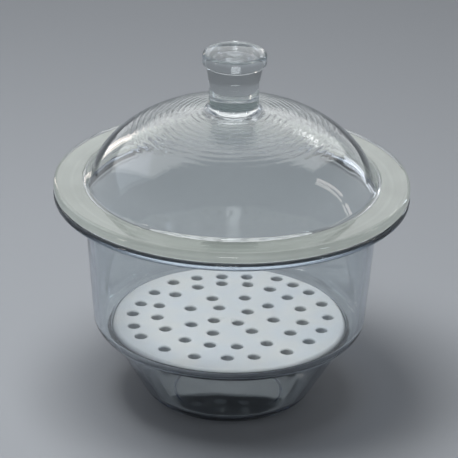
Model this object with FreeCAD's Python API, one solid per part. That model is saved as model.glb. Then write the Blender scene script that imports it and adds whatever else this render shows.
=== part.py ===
"""Glass desiccator: a vessel and a domed lid that meet on flat ground flanges, a solid glass knob
fused on the crown, and a perforated porcelain plate on a ledge over the desiccant well.

Frame: millimetres, +Z up along the axis of revolution, origin at the centre of the foot.
"""
import FreeCAD, Part
import math
import os
from FreeCAD import Vector

os.makedirs("parts", exist_ok=True)

# ---- driving dimensions ---------------------------------------------------------------------
# porcelain plate
PLATE_DIAMETER = 143.5
PLATE_THICKNESS = 6.0
PLATE_TOP_EDGE = 2.6        # rounding of the upper rim
PLATE_FOOT_EDGE = 0.8       # rounding of the unglazed lower rim
HOLE_DIAMETER = 7.0
HOLE_MOUTH = 1.0            # glazed rounding at both ends of a hole
# Four uneven rings of holes, from the rim inwards. Each hole is given by the distance of its
# centre inside the rim and its angle in degrees.
HOLES = (
    (10.6, 2.5), (9.9, 20.1), (9.2, 36.4), (9.0, 50.1), (8.2, 61.9), (13.1, 79.3), (14.1, 95.1),
    (13.3, 111.1), (12.3, 127.2), (14.3, 145.7), (14.1, 163.4), (12.3, 177.7), (12.2, 194.1),
    (12.0, 208.2), (13.6, 229.3), (15.1, 249.3), (17.8, 269.5), (17.6, 286.4), (15.3, 308.0),
    (14.9, 328.1), (13.5, 345.0),
    (25.4, 17.3), (24.9, 39.0), (23.4, 58.2), (23.5, 76.2), (23.9, 96.0), (25.5, 115.8),
    (26.1, 138.3), (25.9, 161.7), (27.7, 182.8), (29.5, 204.5), (30.7, 230.3), (32.7, 253.5),
    (32.7, 277.5), (30.8, 304.3), (29.7, 332.8), (26.5, 354.0),
    (42.3, 35.4), (42.5, 70.7), (43.8, 112.4), (45.2, 155.0), (46.5, 204.9), (48.3, 245.9),
    (49.2, 308.6), (44.4, 355.6),
    (57.8, 35.8), (57.5, 115.5), (61.5, 206.0), (62.7, 307.4),
)

# vessel
VESSEL_HEIGHT = 138.0       # foot to ground face
WALL = 4.0                  # glass thickness, square to the wall
SIDE_ROOM = 14.15           # between the plate's rim and the mouth
VESSEL_LAND = 21.6          # width of the vessel's ground face
VESSEL_FLANGE = 5.0
FLANGE_ROOT = 6.0           # hollow rounding under the flange
SHOULDER_STEP = 10.65       # from the plate's pocket out to the foot of the wall
SHOULDER_SLOPE = 12.0       # degrees, rising outwards
SHOULDER_RADIUS = 9.0
WAIST_RADIUS = 2.4          # hollow rounding between shoulder and well
SEAT_HEIGHT = 45.6          # foot to the ledge that carries the plate
SEAT_WIDTH = 2.6
POCKET_DEPTH = 4.4          # the ledge lies this far below the shoulder floor
POCKET_GAP = 0.3            # radial clearance round the plate
POCKET_EDGE = 1.2
SEAT_EDGE = 0.5
WELL_DRAFT = 29.9           # degrees from vertical
HEEL_RADIUS = 18.0
FLOOR = 4.6                 # foot plane to the inside of the well
FOOT_WIDTH = 5.0            # ring that the vessel stands on
FOOT_RECESS = 1.2

# lid
LID_FLANGE = 6.5
LID_BRIM = 18.5             # from the foot of the dome out to the rim
DOME_RISE = 45.6            # lid flange to crown
DOME_SKIRT_ANGLE = 55.7     # degrees from horizontal
DOME_SKIRT = 9.0            # straight run at the foot of the dome
SKIRT_HANDLE = 4.9          # spline handles of the dome section
CROWN_HANDLE = 65.7
DOME_ROOT = 4.0             # hollow rounding between dome and flange
RIM_TOP = 3.0               # roundings of the two flange rims
RIM_UNDER = 2.2
RIM_GROUND = 1.8
MOUTH_EDGE = 1.0            # small roundings at the inner edges of the ground faces

# knob
KNOB_HEIGHT = 37.6          # crown to the top of the knob
KNOB_RIM_DIAMETER = 38.4
KNOB_RIM_HEIGHT = 7.8
KNOB_CROWN = 1.8            # rise of the domed top above its rim
KNOB_NECK_DIAMETER = 34.2   # under the rim
KNOB_STEM_DIAMETER = 29.8   # at its narrowest
KNOB_STEM_LEVEL = 14.0      # narrowest section above the crown
KNOB_WAIST = 12.0           # rounding at the narrowest section
KNOB_FOOT_DIAMETER = 37.0
KNOB_FOOT_LIP = 0.2         # edge of the foot above the crown
KNOB_FOOT_RISE = 0.8
KNOB_FLARE = 3.0            # hollow rounding from foot to stem
KNOB_UNDERCUT = 0.8
KNOB_RIM_UNDER = 1.6        # roundings of the rim
KNOB_RIM_TOP = 3.2

# ---- derived sizes --------------------------------------------------------------------------
PLATE_R = PLATE_DIAMETER / 2
POCKET_R = PLATE_R + POCKET_GAP
MOUTH_R = PLATE_R + SIDE_ROOM
FLANGE_R = MOUTH_R + VESSEL_LAND
SHOULDER_FLOOR = SEAT_HEIGHT + POCKET_DEPTH
UNDERSIDE = SHOULDER_FLOOR - WALL
FOOT_OF_WALL_R = POCKET_R + SHOULDER_STEP
LID_TOP = VESSEL_HEIGHT + LID_FLANGE
CROWN = LID_TOP + DOME_RISE
DOME_R = FLANGE_R - LID_BRIM


# ---- section helpers: everything here is drawn in the X-Z half plane and revolved ------------
def at(r, z):
    """A point of the half section."""
    return Vector(r, 0, z)


def rounded(points):
    """Edges through the points (r, z, rounding): straight runs joined by tangent arcs."""
    edges, last = [], at(*points[0][:2])
    for before, here, after in zip(points, points[1:], points[2:]):
        corner = at(*here[:2])
        back = (at(*before[:2]) - corner).normalize()
        ahead = (at(*after[:2]) - corner).normalize()
        half = back.getAngle(ahead) / 2
        if here[2] > 0:
            run = here[2] / math.tan(half)
            start, end = corner + back * run, corner + ahead * run
            middle = (back + ahead).normalize()
            mid = corner + middle * (here[2] / math.sin(half) - here[2])
            edges += [Part.LineSegment(last, start).toShape(), Part.Arc(start, mid, end).toShape()]
            last = end
        else:
            edges.append(Part.LineSegment(last, corner).toShape())
            last = corner
    edges.append(Part.LineSegment(last, at(*points[-1][:2])).toShape())
    return edges


def turned(edges):
    """The solid of revolution of a closed half section."""
    wire = Part.Wire(Part.__sortEdges__(edges))
    return Part.Face(wire).revolve(Vector(0, 0, 0), Vector(0, 0, 1), 360)


def line(a, b):
    """A straight edge between two (r, z) points."""
    return Part.LineSegment(at(*a), at(*b)).toShape()


def on_circle(edge, radius, z):
    """True for the circular edge of this radius at this height."""
    if edge.Degenerated or not isinstance(edge.Curve, Part.Circle):
        return False
    return abs(edge.Curve.Radius - radius) < 1e-6 and abs(edge.Curve.Center.z - z) < 1e-6


def direction(degrees):
    """Unit step at an angle from the first axis."""
    return math.cos(math.radians(degrees)), math.sin(math.radians(degrees))


# ---- vessel ---------------------------------------------------------------------------------
def wall_line(z, outside):
    """Radius of the chamber wall at a height: a straight taper from the shoulder to the mouth."""
    rise = VESSEL_HEIGHT - UNDERSIDE
    lean = math.atan2(MOUTH_R + WALL - FOOT_OF_WALL_R, rise)
    inner = MOUTH_R - (VESSEL_HEIGHT - z) * math.tan(lean)
    return inner + (WALL / math.cos(lean) if outside else 0.0)


def well_line(z, outside):
    """Radius of the well's conical wall at a height."""
    draft = math.radians(WELL_DRAFT)
    inner = POCKET_R - SEAT_WIDTH - (SEAT_HEIGHT - z) * math.tan(draft)
    return inner + (WALL / math.cos(draft) if outside else 0.0)


def shoulder_line(r, outside):
    """Height of the sloping shoulder at a radius."""
    slope = math.radians(SHOULDER_SLOPE)
    inner = SHOULDER_FLOOR + (r - POCKET_R) * math.tan(slope)
    return inner - (WALL / math.cos(slope) if outside else 0.0)


def shoulder_corner(side, outside):
    """The point (r, z) where the wall or the well meets the shoulder."""
    r0, z0 = side(0.0, outside), shoulder_line(0.0, outside)
    r_step, z_step = side(1.0, outside) - r0, shoulder_line(1.0, outside) - z0
    z = (z0 + z_step * r0) / (1 - z_step * r_step)
    return side(z, outside), z


def make_vessel():
    """Ground flange, tapered wall, shoulder with the plate's ledge, conical well and foot."""
    heel = well_line(0.0, True)
    ground = heel - HEEL_RADIUS * math.tan(math.radians(90 - WELL_DRAFT) / 2)
    hollow = ground - FOOT_WIDTH
    under_flange = VESSEL_HEIGHT - VESSEL_FLANGE
    section = [
        (0, FOOT_RECESS, 0),
        (hollow, FOOT_RECESS, FOOT_RECESS),
        (hollow + FOOT_RECESS, 0, FOOT_RECESS / 2),
        (heel, 0, HEEL_RADIUS),
        (*shoulder_corner(well_line, True), WAIST_RADIUS),
        (*shoulder_corner(wall_line, True), SHOULDER_RADIUS),
        (wall_line(under_flange, True), under_flange, FLANGE_ROOT),
        (FLANGE_R, under_flange, RIM_UNDER),
        (FLANGE_R, VESSEL_HEIGHT, RIM_GROUND),
        (MOUTH_R, VESSEL_HEIGHT, MOUTH_EDGE),
        (*shoulder_corner(wall_line, False), SHOULDER_RADIUS - WALL),
        (POCKET_R, SHOULDER_FLOOR, POCKET_EDGE),
        (POCKET_R, SEAT_HEIGHT, SEAT_EDGE),
        (well_line(SEAT_HEIGHT, False), SEAT_HEIGHT, SEAT_EDGE),
        (well_line(FLOOR, False), FLOOR, HEEL_RADIUS - WALL),
        (0, FLOOR, 0),
    ]
    return turned(rounded(section) + [line((0, FLOOR), (0, FOOT_RECESS))])


# ---- lid ------------------------------------------------------------------------------------
def dome_section(inset):
    """Crown point, spline edge and foot corner of the dome, moved inwards by the inset."""
    run_r, run_z = direction(DOME_SKIRT_ANGLE)
    shift_r, shift_z = -run_z * inset, -run_r * inset
    foot = (DOME_R + shift_r, LID_TOP + shift_z)
    knee = (foot[0] - run_r * DOME_SKIRT, foot[1] + run_z * DOME_SKIRT)
    pull = (knee[0] - run_r * SKIRT_HANDLE, knee[1] + run_z * SKIRT_HANDLE)
    crown = (0, CROWN - inset)
    curve = Part.BezierCurve()
    curve.setPoles([at(*crown), at(CROWN_HANDLE - inset, CROWN - inset), at(*pull), at(*knee)])
    return crown, curve.toShape(), knee, foot


def dome_blank():
    """Everything under the dome's outer surface, down to the ground face."""
    crown, curve, knee, foot = dome_section(0.0)
    rest = [
        (*knee, 0),
        (*foot, DOME_ROOT),
        (FLANGE_R, LID_TOP, RIM_TOP),
        (FLANGE_R, VESSEL_HEIGHT, RIM_GROUND),
        (0, VESSEL_HEIGHT, 0),
    ]
    return turned([curve] + rounded(rest) + [line((0, VESSEL_HEIGHT), crown)])


def make_dome():
    crown, curve, knee, foot = dome_section(WALL)
    run_r, run_z = direction(DOME_SKIRT_ANGLE)
    below = VESSEL_HEIGHT - 10
    mouth = foot[0] + (foot[1] - VESSEL_HEIGHT) * run_r / run_z
    spread = mouth + MOUTH_EDGE * 2
    rest = [
        (*knee, 0),
        (mouth, VESSEL_HEIGHT, MOUTH_EDGE),
        (spread, VESSEL_HEIGHT, 0),
        (spread, below, 0),
        (0, below, 0),
    ]
    hollow = turned([curve] + rounded(rest) + [line((0, below), crown)])
    return dome_blank().cut(hollow)


def make_knob():
    """The solid knob: flared foot, tapered stem and thick rim, its top gently domed."""
    top = CROWN + KNOB_HEIGHT
    shoulder = top - KNOB_CROWN
    under = shoulder - KNOB_RIM_HEIGHT
    rim, neck = KNOB_RIM_DIAMETER / 2, KNOB_NECK_DIAMETER / 2
    stem, foot = KNOB_STEM_DIAMETER / 2, KNOB_FOOT_DIAMETER / 2
    lip = CROWN + KNOB_FOOT_LIP
    side = [
        (0, VESSEL_HEIGHT, 0),
        (foot, VESSEL_HEIGHT, 0),
        (foot, lip, 0),
        (stem + 0.3, lip + KNOB_FOOT_RISE, KNOB_FLARE),
        (stem, CROWN + KNOB_STEM_LEVEL, KNOB_WAIST),
        (neck, under, KNOB_UNDERCUT),
        (rim, under, KNOB_RIM_UNDER),
        (rim, shoulder, 0),
    ]
    ball = (rim ** 2 + KNOB_CROWN ** 2) / (2 * KNOB_CROWN)
    half = rim / 2
    mid = at(half, top - ball + math.sqrt(ball ** 2 - half ** 2))
    cap = Part.Arc(at(rim, shoulder), mid, at(0, top)).toShape()
    knob = turned(rounded(side) + [cap, line((0, top), (0, VESSEL_HEIGHT))])
    brow = [e for e in knob.Edges if on_circle(e, rim, shoulder)]
    return knob.makeFillet(KNOB_RIM_TOP, brow).cut(dome_blank())


# ---- plate ----------------------------------------------------------------------------------
def make_plate():
    """A disc with rounded rim and rings of round holes, each hole rounded at both ends."""
    top = SEAT_HEIGHT + PLATE_THICKNESS
    rim = [
        (0, SEAT_HEIGHT, 0),
        (PLATE_R, SEAT_HEIGHT, PLATE_FOOT_EDGE),
        (PLATE_R, top, PLATE_TOP_EDGE),
        (0, top, 0),
    ]
    bore = HOLE_DIAMETER / 2
    mouth = bore + HOLE_MOUTH
    low, high = SEAT_HEIGHT + HOLE_MOUTH, top - HOLE_MOUTH
    bend = HOLE_MOUTH * (1 - math.sqrt(0.5))
    punch = turned([
        line((0, SEAT_HEIGHT), (mouth, SEAT_HEIGHT)),
        Part.Arc(at(mouth, SEAT_HEIGHT), at(bore + bend, SEAT_HEIGHT + bend), at(bore, low)).toShape(),
        line((bore, low), (bore, high)),
        Part.Arc(at(bore, high), at(bore + bend, top - bend), at(mouth, top)).toShape(),
        line((mouth, top), (0, top)),
        line((0, top), (0, SEAT_HEIGHT)),
    ])
    punches = []
    for inset, degrees in HOLES:
        step_x, step_y = direction(degrees)
        hole = punch.copy()
        hole.translate(Vector(step_x, step_y, 0) * (PLATE_R - inset))
        punches.append(hole)
    disc = turned(rounded(rim) + [line((0, top), (0, SEAT_HEIGHT))])
    return disc.cut(punches)


# ---- build ----------------------------------------------------------------------------------
PIECES = {
    "base_vessel": make_vessel,
    "lid_dome": make_dome,
    "lid_knob": make_knob,
    "perforated_plate": make_plate,
}

for name, make in PIECES.items():
    shape = make()
    solid = shape.Solids[0] if len(shape.Solids) == 1 else shape
    solid.exportStep(os.path.join("parts", name + ".step"))
    print(name, len(shape.Solids), "solid,", round(solid.Volume / 1000, 2), "cm3, valid:",
          solid.isValid())
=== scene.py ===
"""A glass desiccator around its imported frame: a blown vessel and lid with ground flanges, the lid's
solid knob fused on, and a glazed porcelain plate with punched holes."""
import logging
import math
import random
from dataclasses import dataclass, field
from enum import Enum
from typing import Any, Callable, Optional, Sequence

import bmesh
import bpy
from mathutils import Matrix, Vector


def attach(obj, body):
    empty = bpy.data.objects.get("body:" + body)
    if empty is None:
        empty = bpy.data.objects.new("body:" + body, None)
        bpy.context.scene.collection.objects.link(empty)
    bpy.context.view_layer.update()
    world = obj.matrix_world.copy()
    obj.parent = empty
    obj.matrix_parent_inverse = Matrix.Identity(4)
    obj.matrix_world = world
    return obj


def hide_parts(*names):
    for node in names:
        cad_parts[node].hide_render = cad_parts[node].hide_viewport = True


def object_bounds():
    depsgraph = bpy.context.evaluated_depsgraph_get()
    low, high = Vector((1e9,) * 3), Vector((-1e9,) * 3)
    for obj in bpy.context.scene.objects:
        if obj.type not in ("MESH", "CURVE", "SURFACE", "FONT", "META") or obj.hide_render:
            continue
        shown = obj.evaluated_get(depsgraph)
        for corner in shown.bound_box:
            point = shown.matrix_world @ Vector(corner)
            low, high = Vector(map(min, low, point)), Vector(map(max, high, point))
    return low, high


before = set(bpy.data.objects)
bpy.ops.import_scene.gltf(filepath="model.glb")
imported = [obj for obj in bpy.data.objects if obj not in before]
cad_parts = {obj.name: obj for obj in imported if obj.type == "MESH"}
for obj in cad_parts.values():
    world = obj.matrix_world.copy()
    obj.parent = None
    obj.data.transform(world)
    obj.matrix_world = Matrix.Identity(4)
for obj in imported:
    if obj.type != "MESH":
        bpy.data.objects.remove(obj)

CAD_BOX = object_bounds()
MM = 0.001
WAVE_TURNS = 20.0  # radians that a wave texture turns through in one unit
FACE_NEAR = 0.01  # mm, how near a face lies to a level to belong to it
FACE_LEVEL = 0.99  # upward part of the normal from which a face counts as level
log = logging.getLogger("desiccator")

Point = tuple[float, float]


class Body(Enum):
    """The bodies of the frame that pieces ride on."""

    VESSEL = "vessel"
    LID = "lid"
    PLATE = "plate"


class Slot(Enum):
    """The material slots of the record."""

    GLASS = "clear_glass"
    PORCELAIN = "glazed_porcelain"


class Side(Enum):
    """Which face of a glass wall a line belongs to."""

    INNER = 0
    OUTER = 1


# ---- small tools ----------------------------------------------------------------------------
def linear(code: str, alpha: float = 1.0) -> tuple[float, float, float, float]:
    """Turns an sRGB hex colour into the linear values that shaders take.

    Args:
        code: the colour as "#RRGGBB".
        alpha: the fourth value.

    Returns:
        Red, green, blue and alpha.
    """
    values = [int(code[i : i + 2], 16) / 255 for i in (1, 3, 5)]
    r, g, b = (v / 12.92 if v <= 0.04045 else ((v + 0.055) / 1.055) ** 2.4 for v in values)
    return r, g, b, alpha


def per_metre(size_mm: float) -> float:
    """Turns the size of a pattern's features into its scale.

    Args:
        size_mm: how far across the features are, mm.

    Returns:
        The scale for Object coordinates in metres.
    """
    return 1.0 / (size_mm * MM)


def direction(degrees: float) -> Point:
    """Turns an angle into a step of length one.

    Args:
        degrees: angle from the first axis.

    Returns:
        The step along the first and the second axis.
    """
    return math.cos(math.radians(degrees)), math.sin(math.radians(degrees))


def select_nothing() -> None:
    """Leaves no object selected and none active."""
    if bpy.context.object and bpy.context.object.mode != "OBJECT":
        bpy.ops.object.mode_set(mode="OBJECT")
    bpy.ops.object.select_all(action="DESELECT")
    bpy.context.view_layer.objects.active = None


def select_only(piece: bpy.types.Object) -> None:
    """Makes one object the selected and active one.

    Args:
        piece: the object.
    """
    select_nothing()
    piece.select_set(True)
    bpy.context.view_layer.objects.active = piece


def apply_modifier(piece: bpy.types.Object, kind: str, **settings: Any) -> None:
    """Adds a modifier to a piece, sets it and applies it.

    Args:
        piece: the object to change.
        kind: the modifier's type.
        settings: its properties.
    """
    select_only(piece)
    modifier = piece.modifiers.new(kind.title(), kind)
    for name, value in settings.items():
        setattr(modifier, name, value)
    bpy.ops.object.modifier_apply(modifier=modifier.name)


def add_node(
    tree: bpy.types.NodeTree,
    kind: str,
    settings: Optional[dict[str, Any]] = None,
    inputs: Optional[dict[Any, Any]] = None,
) -> bpy.types.Node:
    """Adds one node to a tree, sets it and wires it.

    Args:
        tree: the material's or world's node tree.
        kind: the node's type name, without "ShaderNode".
        settings: values of the node's own properties.
        inputs: for each input, by name or number, a constant or the output that feeds it.

    Returns:
        The new node.
    """
    node = tree.nodes.new("ShaderNode" + kind)
    for name, value in (settings or {}).items():
        setattr(node, name, value)
    for name, value in (inputs or {}).items():
        if isinstance(value, bpy.types.NodeSocket):
            tree.links.new(value, node.inputs[name])
        else:
            node.inputs[name].default_value = value
    return node


def new_material(name: str) -> tuple[bpy.types.Material, bpy.types.NodeTree]:
    """Makes an empty node material.

    Args:
        name: the real material and how its surface was made.

    Returns:
        The material and its tree.
    """
    material = bpy.data.materials.new(name)
    material.use_nodes = True
    material.node_tree.nodes.clear()
    return material, material.node_tree


# ---- turned work ----------------------------------------------------------------------------
@dataclass(frozen=True)
class Ring:
    """One corner of a turned section.

    Attributes:
        radius: distance from the axis, mm.
        height: height above the foot, mm.
        rounding: radius of the rounding at this corner, mm.
    """

    radius: float
    height: float
    rounding: float = 0.0


@dataclass
class Turning:
    """A piece of revolution, drawn ring by ring up its axis as on a glass lathe.

    Attributes:
        name: the piece's name.
        segments: faces round the axis.
        arc_step: degrees that one face of a rounding turns through.
    """

    name: str
    segments: int = 240
    arc_step: float = 9.0
    piece: Optional[bpy.types.Object] = field(default=None, init=False)
    last: Optional[Ring] = field(default=None, init=False)

    def begin(self, ring: Ring) -> None:
        """Lays the first ring and closes it to a point on the axis.

        Args:
            ring: the first ring off the axis.
        """
        select_nothing()
        bpy.ops.mesh.primitive_circle_add(
            vertices=self.segments,
            radius=ring.radius * MM,
            fill_type="TRIFAN",
            location=(0, 0, ring.height * MM),
        )
        self.piece = bpy.context.object
        self.piece.name = self.piece.data.name = self.name
        bpy.ops.object.transform_apply(location=True, rotation=True, scale=True)
        bpy.ops.object.mode_set(mode="EDIT")
        bpy.ops.mesh.select_mode(type="EDGE")
        self.pick(ring)
        self.last = ring

    def pick(self, ring: Ring) -> int:
        """Selects the edges of one ring by their place.

        Args:
            ring: the ring to look for.

        Returns:
            How many edges were found.
        """
        shape = bmesh.from_edit_mesh(self.piece.data)
        near = 0.004 * MM
        for vertex in shape.verts:
            vertex.select = False
        shape.select_flush(False)
        for edge in shape.edges:
            edge.select = all(
                abs(math.hypot(v.co.x, v.co.y) - ring.radius * MM) < near
                and abs(v.co.z - ring.height * MM) < near
                for v in edge.verts
            )
        bmesh.update_edit_mesh(self.piece.data)
        return sum(edge.select for edge in shape.edges)

    def draw_to(self, ring: Ring) -> None:
        """Pulls a new ring out of the last one.

        Args:
            ring: where the new ring goes.
        """
        lift = (0, 0, (ring.height - self.last.height) * MM)
        bpy.ops.mesh.extrude_region_move(TRANSFORM_OT_translate={"value": lift})
        grow = ring.radius / self.last.radius
        bpy.ops.transform.resize(
            value=(grow, grow, 1), center_override=(0, 0, ring.height * MM)
        )
        self.last = ring

    def close(self, height: float) -> None:
        """Closes the last ring to a point on the axis.

        Args:
            height: of that point, mm.
        """
        self.draw_to(Ring(self.last.radius * 0.5, height))
        bpy.ops.mesh.merge(type="CENTER")

    def turn(self, rings: Sequence[Ring]) -> bpy.types.Object:
        """Draws the whole section, then rounds its corners.

        Args:
            rings: the section from pole to pole; the first and the last lie on the axis.

        Returns:
            The closed piece, with its corners rounded.
        """
        self.begin(rings[1])
        for ring in rings[2:-1]:
            self.draw_to(ring)
        self.close(rings[-1].height)
        for before, ring, after in zip(rings, rings[1:], rings[2:]):
            if ring.rounding:
                self.round_ring(before, ring, after)
        bpy.ops.mesh.select_all(action="SELECT")
        bpy.ops.mesh.remove_doubles(threshold=0.001 * MM)
        bpy.ops.mesh.normals_make_consistent(inside=False)
        bpy.ops.object.mode_set(mode="OBJECT")
        return self.piece

    def round_ring(self, before: Ring, ring: Ring, after: Ring) -> None:
        """Bevels one corner of the section to its rounding.

        Args:
            before: the corner before it.
            ring: the corner.
            after: the corner after it.

        Raises:
            ValueError: if no whole ring of edges lies there.
        """
        corner = Vector((ring.radius, ring.height))
        back = Vector((before.radius, before.height)) - corner
        ahead = Vector((after.radius, after.height)) - corner
        turn = math.pi - back.angle(ahead)
        if self.pick(ring) != self.segments:
            raise ValueError(f"{self.name}: no ring at {ring}")
        bpy.ops.mesh.bevel(
            offset_type="OFFSET",
            offset=ring.rounding * math.tan(turn / 2) * MM,
            segments=max(2, math.ceil(math.degrees(turn) / self.arc_step)),
            profile=0.5,
            affect="EDGES",
            clamp_overlap=False,
        )


def flat_faces_stay_flat(piece: bpy.types.Object) -> None:
    """Gives smooth shading whose normals follow the larger faces.

    Args:
        piece: the object to shade.
    """
    select_only(piece)
    bpy.ops.object.shade_smooth()
    apply_modifier(piece, "WEIGHTED_NORMAL", mode="FACE_AREA", weight=50, keep_sharp=True)


def assign_faces(
    piece: bpy.types.Object, slot: int, wanted: Callable[[Vector, Vector], bool]
) -> int:
    """Gives a material slot to the faces that a test picks.

    Args:
        piece: the object, with its slots already there.
        slot: number of the slot.
        wanted: takes a face's middle in mm and its normal, and says whether it belongs.

    Returns:
        How many faces were assigned.
    """
    select_only(piece)
    bpy.ops.object.mode_set(mode="EDIT")
    bpy.ops.mesh.select_mode(type="FACE")
    shape = bmesh.from_edit_mesh(piece.data)
    for face in shape.faces:
        face.select = wanted(face.calc_center_median() / MM, face.normal)
    bmesh.update_edit_mesh(piece.data)
    count = sum(face.select for face in shape.faces)
    piece.active_material_index = slot
    bpy.ops.object.material_slot_assign()
    bpy.ops.object.mode_set(mode="OBJECT")
    return count


# ---- finishes -------------------------------------------------------------------------------
@dataclass(frozen=True)
class ToolMarks:
    """Rings and chill wrinkles that the shaping tool left in the hot glass.

    Attributes:
        above: height over the foot from which they show, mm.
        full: height at which they are strongest, mm.
        below: height at which they end, at the foot of the knob, mm.
        pitch: distance between wrinkles, outwards from the axis, mm.
        depth: how deep they are, mm.
        around: how many times a wrinkle breaks up in a radian round the axis.
        fading: height over which they end, mm.
        line_pitch: distance between the rings, mm.
        line_share: depth of the rings beside that of the wrinkles.
        line_wander: how far the rings leave true circles.
        line_grain: size of that wandering beside the rings.
    """

    above: float
    full: float
    below: float
    pitch: float
    depth: float
    around: float = 3.5
    fading: float = 3.0
    line_pitch: float = 3.36
    line_share: float = 0.3
    line_wander: float = 1.6
    line_grain: float = 0.4


@dataclass(frozen=True)
class FirePolishedGlass:
    """Soda-lime glass, blown and fire polished: clear and mirror smooth, but its walls run in slow
    waves that bend what is seen through them, and it is grey-blue where one looks along it; where
    the body colour is deep, it also paints the shade of a dark room seen through the glass.

    Attributes:
        name: of the material.
        tint: what one face lets through.
        ior: refractive index.
        roughness: of the faces.
        body_colour: what the glass's body turns light to.
        density: how strongly, per metre.
        wave_length: of the slow waves, mm.
        wave_depth: how deep they are, mm.
        marks: tool marks, if it has them.
        shade: share of a lamp's light that one face lets through.
    """

    name: str
    tint: str = "#FCFEFC"
    ior: float = 1.52
    roughness: float = 0.0
    body_colour: str = "#849DB0"
    density: float = 8.0
    wave_length: float = 34.0
    wave_depth: float = 0.16
    marks: Optional[ToolMarks] = None
    shade: float = 0.90

    def material(self) -> bpy.types.Material:
        """Builds the node material."""
        material, tree = new_material(self.name)
        place = add_node(tree, "TexCoord").outputs["Object"]
        waves = add_node(
            tree,
            "TexNoise",
            inputs={"Vector": place, "Scale": per_metre(self.wave_length), "Detail": 1.0},
        )
        bump = add_node(
            tree,
            "Bump",
            inputs={"Strength": 1.0, "Distance": self.wave_depth * MM, "Height": waves.outputs[0]},
        )
        if self.marks:
            bump = self.tool_marks(tree, place, bump)
        glass = add_node(
            tree,
            "BsdfPrincipled",
            inputs={
                "Base Color": linear(self.tint),
                "Roughness": self.roughness,
                "IOR": self.ior,
                "Transmission Weight": 1.0,
                "Normal": bump.outputs[0],
            },
        )
        lit = pass_light(tree, glass.outputs[0], (self.shade,) * 3 + (1.0,))
        body = add_node(
            tree,
            "VolumeAbsorption",
            inputs={"Color": linear(self.body_colour), "Density": self.density},
        )
        add_node(
            tree, "OutputMaterial", inputs={"Surface": lit, "Volume": body.outputs[0]}
        )
        return material

    def tool_marks(
        self, tree: bpy.types.NodeTree, place: bpy.types.NodeSocket, under: bpy.types.Node
    ) -> bpy.types.Node:
        """Adds the marks, which run round the axis and fade out down the dome.

        Args:
            tree: the material's tree.
            place: Object coordinates.
            under: the bump that they are laid over.

        Returns:
            The bump node that carries both.
        """
        flat = add_node(
            tree, "VectorMath", {"operation": "MULTIPLY"}, {0: place, 1: (1.0, 1.0, 0.0)}
        )
        reach = add_node(tree, "VectorMath", {"operation": "LENGTH"}, {0: flat.outputs[0]})
        heading = add_node(
            tree, "VectorMath", {"operation": "NORMALIZE"}, {0: flat.outputs[0]}
        )
        around = add_node(
            tree,
            "VectorMath",
            {"operation": "SCALE"},
            {0: heading.outputs[0], "Scale": self.marks.around},
        )
        out = add_node(
            tree,
            "Math",
            {"operation": "MULTIPLY"},
            {0: reach.outputs["Value"], 1: per_metre(self.marks.pitch)},
        )
        rings_at = add_node(tree, "CombineXYZ", inputs={"Z": out.outputs[0]})
        where = add_node(
            tree, "VectorMath", {"operation": "ADD"}, {0: around.outputs[0], 1: rings_at.outputs[0]}
        )
        wrinkles = add_node(
            tree, "TexNoise", inputs={"Vector": where.outputs[0], "Scale": 1.0, "Detail": 4.0}
        )
        lines = add_node(
            tree,
            "TexWave",
            {"wave_type": "RINGS", "rings_direction": "Z"},
            {
                "Vector": place,
                "Scale": per_metre(self.marks.line_pitch) * math.tau / WAVE_TURNS,
                "Distortion": self.marks.line_wander,
                "Detail": 2.0,
                "Detail Scale": self.marks.line_grain,
            },
        )
        relief = add_node(
            tree,
            "Math",
            {"operation": "MULTIPLY_ADD"},
            {0: lines.outputs["Fac"], 1: self.marks.line_share, 2: wrinkles.outputs[0]},
        )
        height = add_node(tree, "SeparateXYZ", inputs={"Vector": place})
        fade = add_node(
            tree,
            "MapRange",
            inputs={
                "Value": height.outputs["Z"],
                "From Min": self.marks.above * MM,
                "From Max": self.marks.full * MM,
            },
        )
        stop = add_node(
            tree,
            "MapRange",
            inputs={
                "Value": height.outputs["Z"],
                "From Min": self.marks.below * MM,
                "From Max": (self.marks.below + self.marks.fading) * MM,
                "To Min": fade.outputs[0],
                "To Max": 0.0,
            },
        )
        return add_node(
            tree,
            "Bump",
            inputs={
                "Strength": stop.outputs[0],
                "Distance": self.marks.depth * MM,
                "Height": relief.outputs[0],
                "Normal": under.outputs[0],
            },
        )


def pass_light(
    tree: bpy.types.NodeTree,
    shader: bpy.types.NodeSocket,
    tint: tuple[float, float, float, float],
    soft: bool = True,
) -> bpy.types.NodeSocket:
    """Lets light from the lamps through a glass face, so that what it holds is lit.

    Args:
        tree: the material's tree.
        shader: the glass as it is seen.
        tint: how much light comes through one face.
        soft: whether light that comes off matt surfaces passes as well.

    Returns:
        The shader output to use instead.
    """
    path = add_node(tree, "LightPath")
    clear = add_node(tree, "BsdfTransparent", inputs={"Color": tint})
    for name in ("Is Shadow Ray", "Is Diffuse Ray") if soft else ("Is Shadow Ray",):
        mix = add_node(
            tree, "MixShader", inputs={0: path.outputs[name], 1: shader, 2: clear.outputs[0]}
        )
        shader = mix.outputs[0]
    return shader


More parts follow.
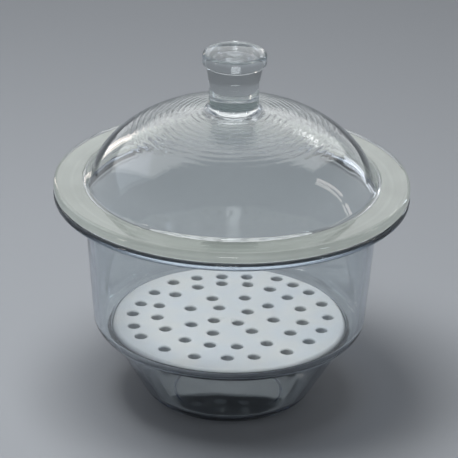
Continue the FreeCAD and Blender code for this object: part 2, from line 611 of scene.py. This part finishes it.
@dataclass(frozen=True)
class GroundGlass:
    """The same glass ground flat with wet grit: a milky, pale grey-green matt face that lets light
    through but no picture, with faint swirls round the axis from the lapping."""

    name: str = "wet_ground_soda_lime_glass"
    pale: str = "#A8AFA9"
    deep: str = "#8B928C"
    ior: float = 1.52
    roughness: float = 0.62
    clearness: float = 0.35
    swirl: float = 5.0
    cloud: float = 26.0
    grit: float = 0.7
    grit_depth: float = 0.04
    spread: Point = (0.1, 0.45)
    shade: float = 0.82

    def material(self) -> bpy.types.Material:
        """Builds the node material. The grit is drawn coarser than its real 0.1 mm, so that it
        shows as a faint sparkle."""
        material, tree = new_material(self.name)
        place = add_node(tree, "TexCoord").outputs["Object"]
        flat = add_node(
            tree, "VectorMath", {"operation": "MULTIPLY"}, {0: place, 1: (1.0, 1.0, 0.0)}
        )
        reach = add_node(tree, "VectorMath", {"operation": "LENGTH"}, {0: flat.outputs[0]})
        lapping = add_node(
            tree,
            "TexNoise",
            {"noise_dimensions": "1D"},
            {"W": reach.outputs["Value"], "Scale": per_metre(self.swirl), "Detail": 3.0},
        )
        cloud = add_node(
            tree,
            "TexNoise",
            inputs={"Vector": place, "Scale": per_metre(self.cloud), "Detail": 3.0},
        )
        blend = add_node(
            tree, "Math", {"operation": "MULTIPLY"}, {0: lapping.outputs[0], 1: cloud.outputs[0]}
        )
        ramp = add_node(tree, "ValToRGB", inputs={"Fac": blend.outputs[0]})
        low, high = ramp.color_ramp.elements
        low.position, high.position = self.spread
        low.color, high.color = linear(self.deep), linear(self.pale)
        grains = add_node(
            tree, "TexNoise", inputs={"Vector": place, "Scale": per_metre(self.grit), "Detail": 2.0}
        )
        bump = add_node(
            tree, "Bump", inputs={"Distance": self.grit_depth * MM, "Height": grains.outputs[0]}
        )
        face = add_node(
            tree,
            "BsdfPrincipled",
            inputs={
                "Base Color": ramp.outputs[0],
                "Roughness": self.roughness,
                "IOR": self.ior,
                "Transmission Weight": self.clearness,
                "Normal": bump.outputs[0],
            },
        )
        lit = pass_light(tree, face.outputs[0], (self.shade,) * 3 + (1.0,), soft=False)
        add_node(tree, "OutputMaterial", inputs={"Surface": lit})
        return material


@dataclass(frozen=True)
class GlazedPorcelain:
    """Hard porcelain under a clear feldspar glaze: cool white with a wet gloss, the glaze a little
    uneven in tone and surface."""

    name: str = "clear_glazed_hard_porcelain"
    cool: str = "#E4EAEF"
    warm: str = "#EBEDEC"
    roughness: float = 0.12
    ior: float = 1.5
    cloud: float = 22.0
    spread: Point = (0.35, 0.65)
    ripple: float = 9.0
    ripple_depth: float = 0.12

    def material(self) -> bpy.types.Material:
        """Builds the node material."""
        material, tree = new_material(self.name)
        place = add_node(tree, "TexCoord").outputs["Object"]
        tone = add_node(
            tree,
            "TexNoise",
            inputs={"Vector": place, "Scale": per_metre(self.cloud), "Detail": 3.0},
        )
        ramp = add_node(tree, "ValToRGB", inputs={"Fac": tone.outputs[0]})
        low, high = ramp.color_ramp.elements
        low.position, high.position = self.spread
        low.color, high.color = linear(self.cool), linear(self.warm)
        glaze = add_node(
            tree,
            "TexNoise",
            inputs={"Vector": place, "Scale": per_metre(self.ripple), "Detail": 2.0},
        )
        bump = add_node(
            tree, "Bump", inputs={"Distance": self.ripple_depth * MM, "Height": glaze.outputs[0]}
        )
        skin = add_node(
            tree,
            "BsdfPrincipled",
            inputs={
                "Base Color": ramp.outputs[0],
                "Roughness": self.roughness,
                "IOR": self.ior,
                "Normal": bump.outputs[0],
            },
        )
        add_node(tree, "OutputMaterial", inputs={"Surface": skin.outputs[0]})
        return material


@dataclass(frozen=True)
class BareBiscuit:
    """Porcelain without glaze, where the plate stood in the kiln: matt, dry and slightly warm."""

    name: str = "unglazed_porcelain_biscuit"
    pale: str = "#DAD7CF"
    dark: str = "#CDC8BE"
    roughness: float = 0.85
    ior: float = 1.5
    grain: float = 1.2
    grain_depth: float = 0.05

    def material(self) -> bpy.types.Material:
        """Builds the node material."""
        material, tree = new_material(self.name)
        place = add_node(tree, "TexCoord").outputs["Object"]
        grains = add_node(
            tree,
            "TexNoise",
            inputs={"Vector": place, "Scale": per_metre(self.grain), "Detail": 4.0},
        )
        ramp = add_node(tree, "ValToRGB", inputs={"Fac": grains.outputs[0]})
        low, high = ramp.color_ramp.elements
        low.color, high.color = linear(self.dark), linear(self.pale)
        bump = add_node(
            tree, "Bump", inputs={"Distance": self.grain_depth * MM, "Height": grains.outputs[0]}
        )
        skin = add_node(
            tree,
            "BsdfPrincipled",
            inputs={
                "Base Color": ramp.outputs[0],
                "Roughness": self.roughness,
                "IOR": self.ior,
                "Normal": bump.outputs[0],
            },
        )
        add_node(tree, "OutputMaterial", inputs={"Surface": skin.outputs[0]})
        return material


# ---- sub-assemblies -------------------------------------------------------------------------
@dataclass
class Vessel:
    """The lower half: ground flange, tapered chamber, shoulder with the plate's ledge, conical
    well and standing ring. All sizes in mm."""

    height: float = 138.0
    wall: float = 4.0
    flange_radius: float = 107.5
    flange: float = 5.0
    flange_root: float = 6.0
    mouth: float = 85.9
    pocket: float = 72.05
    seat: float = 45.6
    seat_width: float = 2.6
    pocket_depth: float = 4.4
    step: float = 10.65
    slope: float = 12.0
    shoulder_radius: float = 9.0
    waist: float = 2.4
    draft: float = 29.9
    heel: float = 18.0
    floor: float = 4.6
    foot_width: float = 5.0
    recess: float = 1.2
    rim_under: float = 2.2
    rim_ground: float = 1.8
    mouth_edge: float = 1.0
    pocket_edge: float = 1.2
    seat_edge: float = 0.5
    air_film: float = 0.08

    def chamber(self, z: float, side: Side) -> float:
        """Finds the chamber's wall.

        Args:
            z: height above the foot, mm.
            side: which face of the glass.

        Returns:
            Its radius there, mm.
        """
        rise = self.height - (self.seat + self.pocket_depth - self.wall)
        lean = math.atan2(self.mouth + self.wall - self.pocket - self.step, rise)
        inner = self.mouth - (self.height - z) * math.tan(lean)
        return inner + side.value * self.wall / math.cos(lean)

    def well(self, z: float, side: Side) -> float:
        """Finds the well's conical wall.

        Args:
            z: height above the foot, mm.
            side: which face of the glass.

        Returns:
            Its radius there, mm.
        """
        draft = math.radians(self.draft)
        inner = self.pocket - self.seat_width - (self.seat - z) * math.tan(draft)
        return inner + side.value * self.wall / math.cos(draft)

    def shoulder(self, r: float, side: Side) -> float:
        """Finds the sloping shoulder.

        Args:
            r: distance from the axis, mm.
            side: which face of the glass.

        Returns:
            Its height there, mm.
        """
        slope = math.radians(self.slope)
        inner = self.seat + self.pocket_depth + (r - self.pocket) * math.tan(slope)
        return inner - side.value * self.wall / math.cos(slope)

    def corner(self, wall: Callable[[float, Side], float], side: Side) -> Point:
        """Finds where a wall meets the shoulder.

        Args:
            wall: the chamber's or the well's wall.
            side: which face of the glass.

        Returns:
            Radius and height of the corner, mm.
        """
        r0, z0 = wall(0.0, side), self.shoulder(0.0, side)
        dr, dz = wall(1.0, side) - r0, self.shoulder(1.0, side) - z0
        z = (z0 + dz * r0) / (1 - dz * dr)
        return wall(z, side), z

    def rings(self) -> list[Ring]:
        """The section from the middle of the foot, up the outside and down the inside."""
        heel = self.well(0.0, Side.OUTER)
        ground = heel - self.heel * math.tan(math.radians(90 - self.draft) / 2)
        hollow = ground - self.foot_width
        under, top = self.height - self.flange, self.height - self.air_film
        return [
            Ring(0, self.recess),
            Ring(hollow, self.recess, self.recess),
            Ring(hollow + self.recess, 0, self.recess / 2),
            Ring(heel, 0, self.heel),
            Ring(*self.corner(self.well, Side.OUTER), self.waist),
            Ring(*self.corner(self.chamber, Side.OUTER), self.shoulder_radius),
            Ring(self.chamber(under, Side.OUTER), under, self.flange_root),
            Ring(self.flange_radius, under, self.rim_under),
            Ring(self.flange_radius, top, self.rim_ground),
            Ring(self.mouth, top, self.mouth_edge),
            Ring(*self.corner(self.chamber, Side.INNER), self.shoulder_radius - self.wall),
            Ring(self.pocket, self.seat + self.pocket_depth, self.pocket_edge),
            Ring(self.pocket, self.seat, self.seat_edge),
            Ring(self.well(self.seat, Side.INNER), self.seat, self.seat_edge),
            Ring(self.well(self.floor, Side.INNER), self.floor, self.heel - self.wall),
            Ring(0, self.floor),
        ]

    def build(self) -> bpy.types.Object:
        """Turns the vessel and dresses it."""
        piece = Turning("vessel_blown_glass").turn(self.rings())
        # body colour and density deeper than real glass: the glass's own grey-blue plus painted shade
        # of the dark room seen through the walls
        clear = FirePolishedGlass(
            "fire_polished_vessel_glass", body_colour="#7694B4", density=48.0, shade=0.58
        )
        piece.data.materials.append(clear.material())
        piece.data.materials.append(GroundGlass().material())
        top = self.height - self.air_film
        assign_faces(piece, 1, lambda at, way: at.z > top - FACE_NEAR and way.z > FACE_LEVEL)
        flat_faces_stay_flat(piece)
        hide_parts("base_vessel")
        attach(piece, Body.VESSEL.value)
        return piece


@dataclass
class Lid:
    """The upper half: ground flange, dome and the solid knob fused on its crown. Sizes in mm."""

    joint: float = 138.0
    flange: float = 6.5
    flange_radius: float = 107.5
    brim: float = 18.5
    rise: float = 45.6
    wall: float = 4.0
    skirt_angle: float = 55.7
    skirt: float = 9.0
    skirt_handle: float = 4.9
    crown_handle: float = 65.7
    root: float = 4.0
    rim_top: float = 3.0
    rim_ground: float = 1.8
    knob_height: float = 37.6
    knob_rim: float = 19.2
    knob_rim_height: float = 7.8
    knob_crown: float = 1.8
    knob_neck: float = 17.1
    knob_stem: float = 14.9
    knob_stem_level: float = 14.0
    knob_waist: float = 12.0
    knob_foot: float = 18.5
    knob_foot_lip: float = 0.4
    knob_foot_flare: float = 0.3
    knob_foot_fillet: float = 4.6
    knob_foot_room: float = 2.5
    knob_neck_edge: float = 0.8
    knob_rim_under: float = 1.6
    knob_rim_top: float = 3.2
    mouth_edge: float = 1.0
    air_film: float = 0.08
    curve_steps: int = 40
    cap_steps: int = 8

    @property
    def crown(self) -> float:
        """Height of the dome's crown over the foot."""
        return self.joint + self.flange + self.rise

    def dome(self, inset: float) -> tuple[list[Point], Point]:
        """The dome's spline from crown to skirt, and the foot of its skirt.

        Args:
            inset: how far inside the outer surface it lies.

        Returns:
            Points of the spline, crown first, and the foot, each as radius and height.
        """
        run_r, run_z = direction(self.skirt_angle)
        foot_r = self.flange_radius - self.brim - run_z * inset
        foot_z = self.joint + self.flange - run_r * inset
        knee = Vector((foot_r - run_r * self.skirt, foot_z + run_z * self.skirt))
        pull = knee + Vector((-run_r, run_z)) * self.skirt_handle
        top = Vector((0, self.crown - inset))
        handle = Vector((self.crown_handle - inset, self.crown - inset))
        points = []
        for step in range(self.curve_steps + 1):
            t = step / self.curve_steps
            at = (
                top * (1 - t) ** 3
                + handle * 3 * t * (1 - t) ** 2
                + pull * 3 * t**2 * (1 - t)
                + knee * t**3
            )
            points.append((at.x, at.y))
        return points, (foot_r, foot_z)

    def rings(self) -> list[Ring]:
        """The section from the inner crown, down the inside, out along the flange and up the
        outside to the top of the knob."""
        inner, (foot_r, foot_z) = self.dome(self.wall)
        outer, (root_r, root_z) = self.dome(0.0)
        low = self.joint + self.air_film
        run_r, run_z = direction(self.skirt_angle)
        mouth = foot_r + (foot_z - low) * run_r / run_z
        under = [Ring(r, z) for r, z in inner[1:]]
        over = [Ring(r, z) for r, z in reversed(outer) if r > self.knob_foot + self.knob_foot_room]
        top = self.crown + self.knob_height
        brow = top - self.knob_crown
        foot = self.crown + self.knob_foot_lip
        knob = [
            Ring(self.knob_stem + self.knob_foot_flare, foot, self.knob_foot_fillet),
            Ring(self.knob_stem, self.crown + self.knob_stem_level, self.knob_waist),
            Ring(self.knob_neck, brow - self.knob_rim_height, self.knob_neck_edge),
            Ring(self.knob_rim, brow - self.knob_rim_height, self.knob_rim_under),
            Ring(self.knob_rim, brow, self.knob_rim_top),
        ]
        ball = (self.knob_rim**2 + self.knob_crown**2) / (2 * self.knob_crown)
        cap = [
            Ring(r, top - ball + math.sqrt(ball**2 - r**2))
            for r in (self.knob_rim * k / self.cap_steps for k in range(self.cap_steps - 2, 0, -1))
        ]
        return (
            [Ring(0, inner[0][1])]
            + under
            + [Ring(mouth, low, self.mouth_edge)]
            + [Ring(self.flange_radius, low, self.rim_ground)]
            + [Ring(self.flange_radius, root_z, self.rim_top), Ring(root_r, root_z, self.root)]
            + over
            + knob
            + cap
            + [Ring(0, top)]
        )

    def build(self) -> bpy.types.Object:
        """Turns the lid with its knob and dresses it."""
        piece = Turning("lid_blown_glass").turn(self.rings())
        marks = ToolMarks(above=170.0, full=180.0, below=190.5, pitch=2.4, depth=0.24)
        clear = FirePolishedGlass(
            "fire_polished_lid_glass", wave_length=22.0, wave_depth=0.14, marks=marks
        )
        piece.data.materials.append(clear.material())
        piece.data.materials.append(GroundGlass(name="wet_ground_lid_glass").material())
        low = self.joint + self.air_film
        assign_faces(piece, 1, lambda at, way: at.z < low + FACE_NEAR and way.z < -FACE_LEVEL)
        flat_faces_stay_flat(piece)
        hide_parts("lid_dome", "lid_knob")
        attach(piece, Body.LID.value)
        return piece


@dataclass
class Plate:
    """The loose porcelain plate with four uneven rings of punched holes. Sizes in mm.

    Attributes:
        radius: of the plate.
        bottom: height of its underside above the foot.
        thickness: from underside to top.
        top_edge: rounding of the upper rim.
        foot_edge: rounding of the bare lower rim.
        bore: radius of a hole.
        mouth: glazed rounding at both ends of a hole.
        clearance: how far the plate stands off its ledge.
        unevenness: share by which a hole is wider or narrower than the next.
        seed: of the draws for that.
        rim_sides: faces round the rim.
        rim_step: degrees that one face of a rounding turns through.
        punch_sides: faces round a hole.
        punch_room: how far the punch reaches past the plate.
        punch_spread: how fast the punch widens there.
        flare_angle: degrees of the mouth's arc.
        flare_steps: faces along that arc.
        holes: for each hole, the distance of its centre inside the rim, and its angle in degrees.
    """

    radius: float = 71.75
    bottom: float = 45.6
    thickness: float = 6.0
    top_edge: float = 2.6
    foot_edge: float = 0.8
    bore: float = 3.5
    mouth: float = 1.1
    clearance: float = 0.05
    unevenness: float = 0.03
    seed: int = 11
    rim_sides: int = 288
    rim_step: float = 7.5
    punch_sides: int = 36
    punch_room: float = 2.0
    punch_spread: float = 1.6
    flare_angle: float = 78.0
    flare_steps: int = 5
    holes: tuple[Point, ...] = (
        (10.6, 2.5), (9.9, 20.1), (9.2, 36.4), (9.0, 50.1), (8.2, 61.9), (13.1, 79.3),
        (14.1, 95.1), (13.3, 111.1), (12.3, 127.2), (14.3, 145.7), (14.1, 163.4), (12.3, 177.7),
        (12.2, 194.1), (12.0, 208.2), (13.6, 229.3), (15.1, 249.3), (17.8, 269.5), (17.6, 286.4),
        (15.3, 308.0), (14.9, 328.1), (13.5, 345.0),
        (25.4, 17.3), (24.9, 39.0), (23.4, 58.2), (23.5, 76.2), (23.9, 96.0), (25.5, 115.8),
        (26.1, 138.3), (25.9, 161.7), (27.7, 182.8), (29.5, 204.5), (30.7, 230.3), (32.7, 253.5),
        (32.7, 277.5), (30.8, 304.3), (29.7, 332.8), (26.5, 354.0),
        (42.3, 35.4), (42.5, 70.7), (43.8, 112.4), (45.2, 155.0), (46.5, 204.9), (48.3, 245.9),
        (49.2, 308.6), (44.4, 355.6),
        (57.8, 35.8), (57.5, 115.5), (61.5, 206.0), (62.7, 307.4),
    )

    def punch(self) -> bpy.types.Object:
        """One punch with flared ends, which leaves a hole with rounded mouths."""
        low, high = self.bottom, self.bottom + self.thickness
        flare = []
        for step in range(self.flare_steps + 1):
            rise_r, rise_z = direction(self.flare_angle * step / self.flare_steps)
            flare.append((self.bore + self.mouth * (1 - rise_r), self.mouth * (1 - rise_z)))
        out = self.punch_room
        reach = flare[-1][0] + (flare[-1][1] + out) * self.punch_spread
        up = [Ring(r, high - dip) for r, dip in flare]
        down = [Ring(r, low + dip) for r, dip in reversed(flare)]
        rings = (
            [Ring(0, low - out), Ring(reach, low - out)]
            + down
            + up
            + [Ring(reach, high + out), Ring(0, high + out)]
        )
        return Turning("punch", segments=self.punch_sides).turn(rings)

    def blank(self) -> bpy.types.Object:
        """The plate before its holes are punched."""
        low, high = self.bottom + self.clearance, self.bottom + self.thickness
        rings = [
            Ring(0, low),
            Ring(self.radius, low, self.foot_edge),
            Ring(self.radius, high, self.top_edge),
            Ring(0, high),
        ]
        turning = Turning("plate_glazed_porcelain", self.rim_sides, self.rim_step)
        return turning.turn(rings)

    def build(self) -> bpy.types.Object:
        """Turns the plate, punches it and dresses it."""
        plate = self.blank()
        draw = random.Random(self.seed)
        first = self.punch()
        punches = []
        for inset, degrees in self.holes:
            copy = first.copy()
            copy.data = first.data.copy()
            bpy.context.scene.collection.objects.link(copy)
            step_x, step_y = direction(degrees)
            reach = (self.radius - inset) * MM
            wide, deep = (1 + draw.uniform(-1, 1) * self.unevenness for _ in range(2))
            turned = Matrix.Rotation(draw.uniform(0, math.pi), 4, "Z")
            place = Matrix.Translation((step_x * reach, step_y * reach, 0))
            copy.data.transform(place @ turned @ Matrix.Diagonal((wide, deep, 1, 1)))
            punches.append(copy)
        bpy.data.objects.remove(first)
        select_nothing()
        for copy in punches:
            copy.select_set(True)
        bpy.context.view_layer.objects.active = punches[0]
        bpy.ops.object.join()
        cutter = bpy.context.object
        apply_modifier(plate, "BOOLEAN", operation="DIFFERENCE", object=cutter, solver="EXACT")
        bpy.data.objects.remove(cutter)
        plate.data.materials.clear()
        plate.data.materials.append(GlazedPorcelain().material())
        plate.data.materials.append(BareBiscuit().material())
        low = self.bottom + self.clearance
        assign_faces(plate, 1, lambda at, way: at.z < low + FACE_NEAR and way.z < -FACE_LEVEL)
        flat_faces_stay_flat(plate)
        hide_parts("perforated_plate")
        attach(plate, Body.PLATE.value)
        return plate


# ---- studio ---------------------------------------------------------------------------------
@dataclass(frozen=True)
class SoftBox:
    """One soft lamp.

    Attributes:
        name: what it is for.
        azimuth: degrees round the object, 0 in front and 90 on the right.
        elevation: degrees above the floor.
        distance: metres from what it lights.
        size: width and height in metres.
        power: watts.
        colour: of its light.
        card: True for a card that only shows as a reflection, and lights nothing matt.
        hidden: True for a lamp that lights matt faces without showing in the glass.
    """

    name: str
    azimuth: float
    elevation: float
    distance: float
    size: Point
    power: float
    colour: str = "#FFFFFF"
    card: bool = False
    hidden: bool = False

    def place(self, aim: Vector) -> bpy.types.Object:
        """Hangs the lamp so that it faces a point.

        Args:
            aim: the point that it lights, metres.

        Returns:
            The lamp.
        """
        across, away = direction(self.azimuth - 90)
        flat, up = direction(self.elevation)
        where = aim + Vector((across * flat, away * flat, up)) * self.distance
        turn = (aim - where).to_track_quat("-Z", "Y").to_euler()
        select_nothing()
        bpy.ops.object.light_add(type="AREA", location=where, rotation=turn)
        lamp = bpy.context.object
        lamp.name = self.name
        lamp.data.shape = "RECTANGLE"
        lamp.data.size, lamp.data.size_y = self.size
        lamp.data.energy = self.power
        lamp.data.color = linear(self.colour)[:3]
        lamp.visible_diffuse = not self.card
        lamp.visible_glossy = lamp.visible_transmission = not self.hidden
        return lamp


@dataclass
class Studio:
    """Pale floor, soft lamps and the camera. Lengths in metres, angles in degrees.

    Attributes:
        floor_half: half the width of the floor.
        floor_gap: how far the floor lies under the foot, so that the two don't coincide.
        fibre: size of the paper's fibres, mm, drawn coarser than real ones so that they show.
        fibre_depth: how deep they are, mm.
        wall_light: light from the room's walls.
        ceiling_light: light from the ceiling.
        wall_top: upward part of the direction from which the walls dim.
        ceiling_edge: upward part at which the ceiling's light is reached.
        aim: the point that the lamps and the camera face.
        distance: from there to the camera.
        elevation: of the camera.
        yaw: small turn of the camera about its own upright axis.
        tilt: small turn about its axis to the right.
        roll: small turn about its line of sight.
        lens: focal length, mm.
        sensor: width of the picture in the camera, mm.
        sees_from: nearest thing seen.
        sees_to: farthest thing seen.
        bounces: of light in all, and through clear faces.
        glass_bounces: through glass.
        mirror_bounces: off mirror-smooth faces.
        matt_bounces: off matt faces.
        lamps: the lamps and cards.
    """

    floor_half: float = 6.0
    floor_gap: float = 0.0001
    floor_colour: str = "#A0A4A9"
    room_colour: str = "#F2F5FA"
    floor_roughness: float = 0.9
    fibre: float = 1.5
    fibre_depth: float = 0.03
    wall_light: float = 0.62
    ceiling_light: float = 0.10
    wall_top: float = 0.15
    ceiling_edge: float = 0.8
    aim: Vector = field(default_factory=lambda: Vector((0, 0, 0.1445)))
    distance: float = 1.8
    elevation: float = 24.0136
    yaw: float = 0.0385
    tilt: float = -0.9850
    roll: float = -1.2420
    lens: float = 235.0
    sensor: float = 36.0
    sees_from: float = 0.05
    sees_to: float = 50.0
    bounces: int = 40
    glass_bounces: int = 36
    mirror_bounces: int = 16
    matt_bounces: int = 5
    lamps: tuple[SoftBox, ...] = (
        SoftBox("key", -75, 79, 0.85, (0.50, 0.50), 8.8, hidden=True),
        SoftBox("back_panel", -173, 47, 1.15, (2.4, 1.2), 10.5, card=True),
        SoftBox("left_window", -116, 31, 1.1, (0.5, 0.5), 0.5, "#E4EEFF"),
        SoftBox("right_strip", 102, 30, 1.3, (0.06, 0.55), 0.45, "#FFF6F0", card=True),
        SoftBox("front_window", -2, 9, 2.4, (0.5, 0.42), 5.5, card=True),
        SoftBox("right_spot", 150, 33, 1.3, (0.12, 0.10), 0.16, card=True),
        SoftBox("left_glint", -68, 13, 1.3, (0.09, 0.5), 0.9, "#FFF4EC", card=True),
        SoftBox("right_glint", 58, 15, 1.3, (0.07, 0.4), 0.7, "#EAF2FF", card=True),
        SoftBox("far_left_glint", -148, 10, 1.3, (0.10, 0.4), 0.35, "#FFF1E8", card=True),
        SoftBox("far_right_glint", 136, 10, 1.3, (0.10, 0.4), 0.45, "#EAF2FF", card=True),
    )

    def lay_floor(self) -> bpy.types.Object:
        """A sheet of pale paper under the foot."""
        select_nothing()
        low = CAD_BOX[0].z - self.floor_gap
        bpy.ops.mesh.primitive_plane_add(size=2 * self.floor_half, location=(0, 0, low))
        floor = bpy.context.object
        floor.name = "studio_floor"
        material, tree = new_material("pale_studio_paper")
        place = add_node(tree, "TexCoord").outputs["Object"]
        fibre = add_node(
            tree,
            "TexNoise",
            inputs={"Vector": place, "Scale": per_metre(self.fibre), "Detail": 3.0},
        )
        bump = add_node(
            tree,
            "Bump",
            inputs={"Distance": self.fibre_depth * MM, "Height": fibre.outputs[0]},
        )
        paper = add_node(
            tree,
            "BsdfPrincipled",
            inputs={
                "Base Color": linear(self.floor_colour),
                "Roughness": self.floor_roughness,
                "Normal": bump.outputs[0],
            },
        )
        add_node(tree, "OutputMaterial", inputs={"Surface": paper.outputs[0]})
        floor.data.materials.append(material)
        return floor

    def light_room(self) -> None:
        """Dim light from the room, and the lamps."""
        world = bpy.data.worlds.new("studio_room")
        bpy.context.scene.world = world
        world.use_nodes = True
        world.node_tree.nodes.clear()
        way = add_node(world.node_tree, "TexCoord").outputs["Generated"]
        up = add_node(world.node_tree, "SeparateXYZ", inputs={"Vector": way})
        walls = add_node(
            world.node_tree,
            "MapRange",
            inputs={
                "Value": up.outputs["Z"],
                "From Min": self.wall_top,
                "From Max": self.ceiling_edge,
                "To Min": self.wall_light,
                "To Max": self.ceiling_light,
            },
        )
        glow = add_node(
            world.node_tree,
            "Background",
            inputs={"Color": linear(self.room_colour), "Strength": walls.outputs[0]},
        )
        add_node(world.node_tree, "OutputWorld", inputs={"Surface": glow.outputs[0]})
        for lamp in self.lamps:
            lamp.place(self.aim)

    def set_camera(self) -> bpy.types.Object:
        """Stands the camera a long way off with a long lens, aimed at the ground joint."""
        flat, up = direction(self.elevation)
        where = self.aim + Vector((0, -flat, up)) * self.distance
        forward = (self.aim - where).normalized()
        right = Vector((1, 0, 0))
        above = right.cross(forward)
        axes = Matrix((right, above, forward))
        for angle, which in ((self.yaw, 1), (self.tilt, 0), (self.roll, 2)):
            turn = Matrix.Rotation(math.radians(angle), 3, axes[which])
            axes = Matrix([turn @ axis for axis in axes])
        right, above, forward = axes
        select_nothing()
        bpy.ops.object.camera_add(location=where)
        camera = bpy.context.object
        camera.name = "studio_camera"
        camera.rotation_mode = "QUATERNION"
        camera.rotation_quaternion = Matrix((right, above, -forward)).transposed().to_quaternion()
        camera.data.lens = self.lens
        camera.data.sensor_width = self.sensor
        camera.data.clip_start, camera.data.clip_end = self.sees_from, self.sees_to
        bpy.context.scene.camera = camera
        return camera

    def set_light_paths(self) -> None:
        """Enough bounces for light to pass through both walls and flanges."""
        scene = bpy.context.scene
        scene.view_settings.view_transform = "Standard"
        paths = scene.cycles
        paths.max_bounces = self.bounces
        paths.transmission_bounces = self.glass_bounces
        paths.glossy_bounces = self.mirror_bounces
        paths.diffuse_bounces = self.matt_bounces
        paths.transparent_max_bounces = self.bounces
        paths.caustics_refractive = paths.caustics_reflective = False

    def build(self) -> None:
        """Sets up the whole studio."""
        self.lay_floor()
        self.light_room()
        self.set_camera()
        self.set_light_paths()


def report(piece: bpy.types.Object) -> None:
    """Logs a piece's size and faces.

    Args:
        piece: the finished piece.
    """
    size = [round(d / MM, 2) for d in piece.dimensions]
    log.info("%s: %d faces, %s mm", piece.name, len(piece.data.polygons), size)


def main() -> None:
    """Builds the object piece by piece, then the studio."""
    logging.basicConfig(level=logging.INFO, format="%(name)s %(message)s")
    Studio().build()
    for assembly in (Vessel(), Plate(), Lid()):
        report(assembly.build())


if __name__ == "__main__":
    main()
